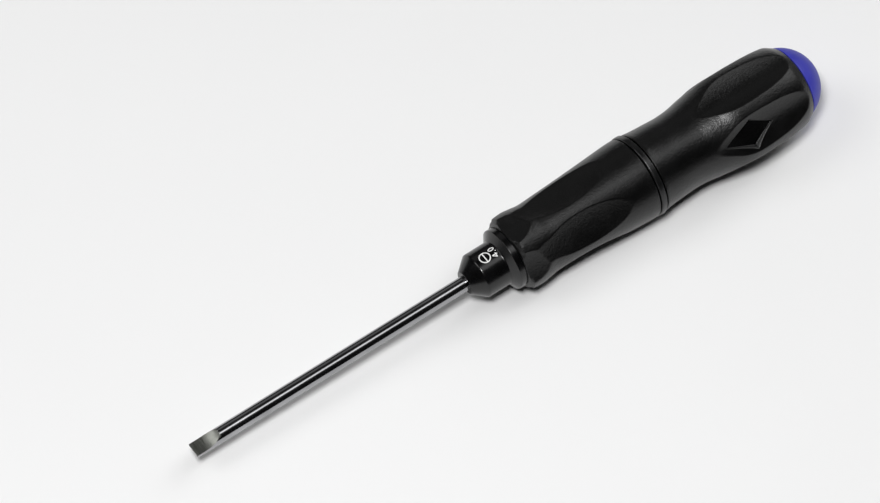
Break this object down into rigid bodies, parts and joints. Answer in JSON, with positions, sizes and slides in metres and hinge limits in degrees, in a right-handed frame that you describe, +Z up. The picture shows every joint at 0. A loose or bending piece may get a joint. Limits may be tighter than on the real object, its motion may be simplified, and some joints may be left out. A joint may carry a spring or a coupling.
{
  "type": "slotted screwdriver",
  "caption": "Slotted screwdriver with a slim round shaft, a flanged dark collar, a scalloped grip split by a ring, and a domed swivel end cap for turning small slotted screws.",
  "frame": {"origin": "centre of the flat end face of the blade tip, on the tool's axis", "axes": "+X along the tool's axis from the blade tip to the end cap; +Z up, square to the blade's flats; the handle's diamond recesses face 60 degrees off +Z towards -Y and the opposite way"},
  "size_m": [0.1889, 0.0264, 0.025],
  "materials": {
    "blade_steel": "polished dark nickel on hardened steel",
    "collar_black": "black anodised, turned, satin gloss",
    "screw_black": "black oxide",
    "core_nylon": "glass-filled nylon, unpolished",
    "grip_black": "satin moulded plastic with a fine grain",
    "ring_black": "satin moulded plastic",
    "bolt_steel": "zinc plated",
    "bush_bronze": "sintered bronze",
    "washer_acetal": "natural acetal",
    "cap_blue": "satin moulded blue plastic"
  },
  "bodies": {
    "handle": {"collar": "collar_black", "handle_core": "core_nylon", "front_grip": "grip_black", "spacer_ring": "ring_black", "rear_grip": "grip_black", "tie_bolt": "bolt_steel", "clamp_washer": "bolt_steel", "cap_bush": "bush_bronze", "thrust_washer": "washer_acetal"},
    "blade": {"blade": "blade_steel"},
    "set_screw": {"set_screw": "screw_black"},
    "cap": {"end_cap": "cap_blue", "cap_hub": "bolt_steel", "retaining_ring": "bolt_steel"}
  },
  "joints": [
    {"name": "blade_slide", "type": "slide", "parent": "handle", "child": "blade", "axis": [-1, 0, 0], "range_m": [0, 0.026]},
    {"name": "set_screw_travel", "type": "slide", "parent": "handle", "child": "set_screw", "axis": [0, 0, -1], "range_m": [0, 0.001]},
    {"name": "cap_swivel", "type": "hinge", "parent": "handle", "child": "cap", "pos_m": [0.1784, 0, 0], "axis": [1, 0, 0], "continuous": true}
  ]
}
